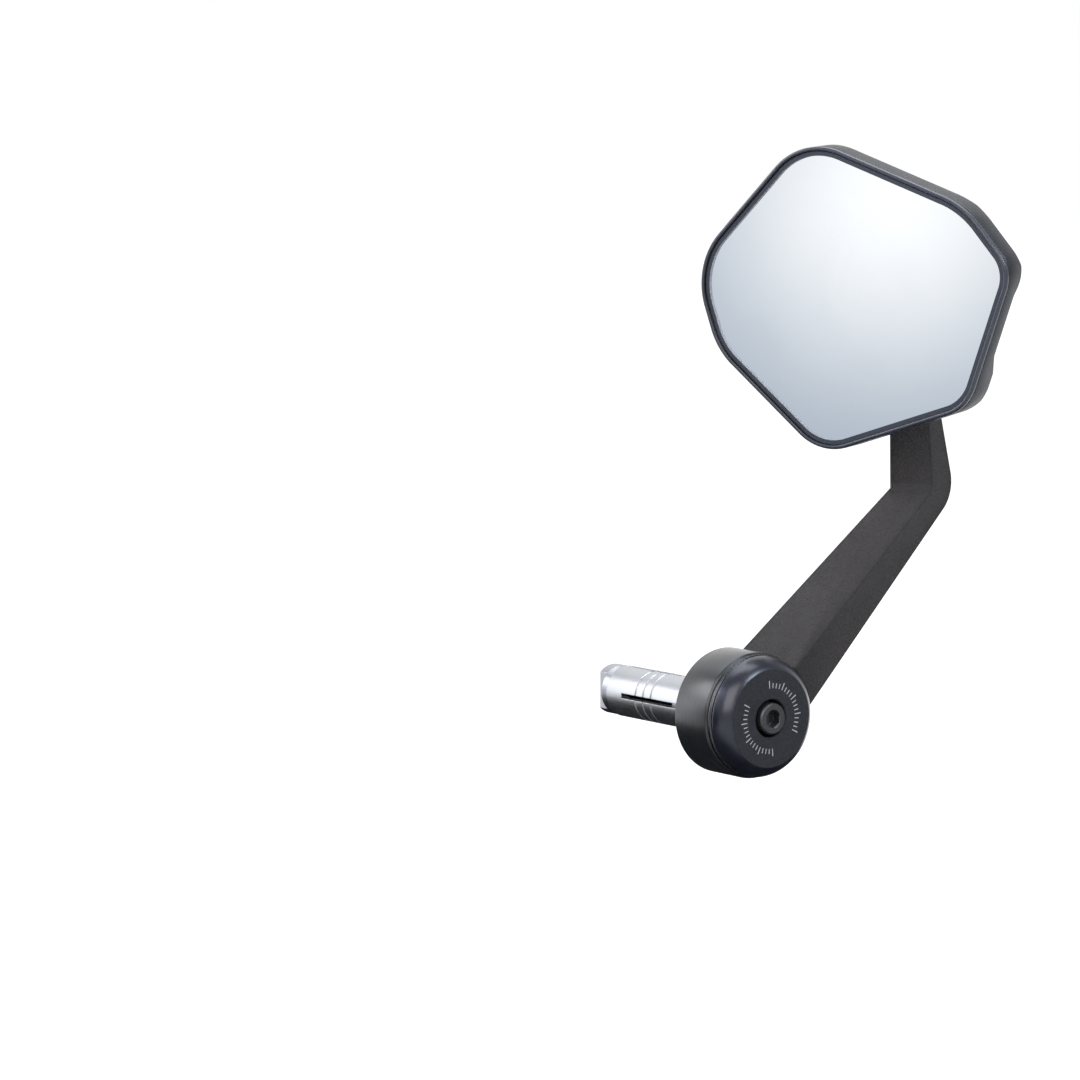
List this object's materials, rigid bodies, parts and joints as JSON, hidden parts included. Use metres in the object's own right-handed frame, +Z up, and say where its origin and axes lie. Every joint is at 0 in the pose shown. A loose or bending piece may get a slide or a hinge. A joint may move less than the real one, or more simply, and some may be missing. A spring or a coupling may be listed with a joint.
{
  "type": "motorcycle bar end mirror",
  "caption": "Bar end mirror for the right side of a motorcycle: expanding bar plug, round cap, bent faceted arm on a turning ring, and a seven-sided mirror head on a ball joint.",
  "frame": {"origin": "on the handlebar's axis at the bar's end face, where the spacer's inboard face sits", "axes": "+X outboard along the bar axis, +Y forward, +Z up; right hand side of the motorcycle"},
  "size_m": [0.1272, 0.106, 0.1986],
  "materials": {
    "spacer_black": "black anodised aluminium",
    "plain_steel": "zinc plated",
    "plain_aluminium": "turned, plain",
    "black_steel": "black oxide",
    "black_anodised": "satin black anodised, turned",
    "bright_ring": "fine turned",
    "black_powder_coat": "fine textured black powder coat",
    "liner_plastic": "natural acetal",
    "cup_plastic": "glass-filled nylon",
    "black_shell": "cast, satin black",
    "bezel_plastic": "satin",
    "mirror_face": "silvered, slightly convex to the eye",
    "foam": "closed-cell adhesive foam",
    "carrier_plastic": "moulded"
  },
  "bodies": {
    "bar_mount": {"inner_spacer": "spacer_black", "front_cone": "plain_steel", "expander_sleeve": "plain_aluminium", "cone_nut": "plain_steel", "cap_bolt": "black_steel", "bolt_washer": "black_steel", "end_cap": "black_anodised", "friction_washer": "bright_ring"},
    "swing_arm": {"arm": "black_powder_coat", "ball_stud": "plain_steel", "stud_washer": "plain_steel"},
    "pan_liner": {"ball_liner": "liner_plastic"},
    "tilt_cup": {"pressure_cup": "cup_plastic"},
    "mirror_head": {"back_shell": "black_shell", "bezel": "bezel_plastic", "mirror_glass": "mirror_face", "foam_pad": "foam", "glass_carrier": "carrier_plastic", "carrier_screws": "plain_steel", "clamp_plate": "plain_steel", "clamp_screws": "plain_steel", "spring_washer": "plain_steel"}
  },
  "joints": [
    {"name": "arm_swing", "type": "hinge", "parent": "bar_mount", "child": "swing_arm", "pos_m": [0.0133, 0, 0], "axis": [1, 0, 0], "range_deg": [-90, 90]},
    {"name": "head_pan", "type": "hinge", "parent": "swing_arm", "child": "pan_liner", "pos_m": [0.0114, 0.052, 0.131], "axis": [0, 0, 1], "range_deg": [-38, 3]},
    {"name": "head_tilt", "type": "hinge", "parent": "pan_liner", "child": "tilt_cup", "pos_m": [0.0114, 0.052, 0.131], "axis": [0.9438, 0.3305, 0], "range_deg": [-14, 14]},
    {"name": "head_roll", "type": "hinge", "parent": "tilt_cup", "child": "mirror_head", "pos_m": [0.0114, 0.052, 0.131], "axis": [0.3299, -0.9421, -0.0593], "range_deg": [-20, 20]}
  ]
}
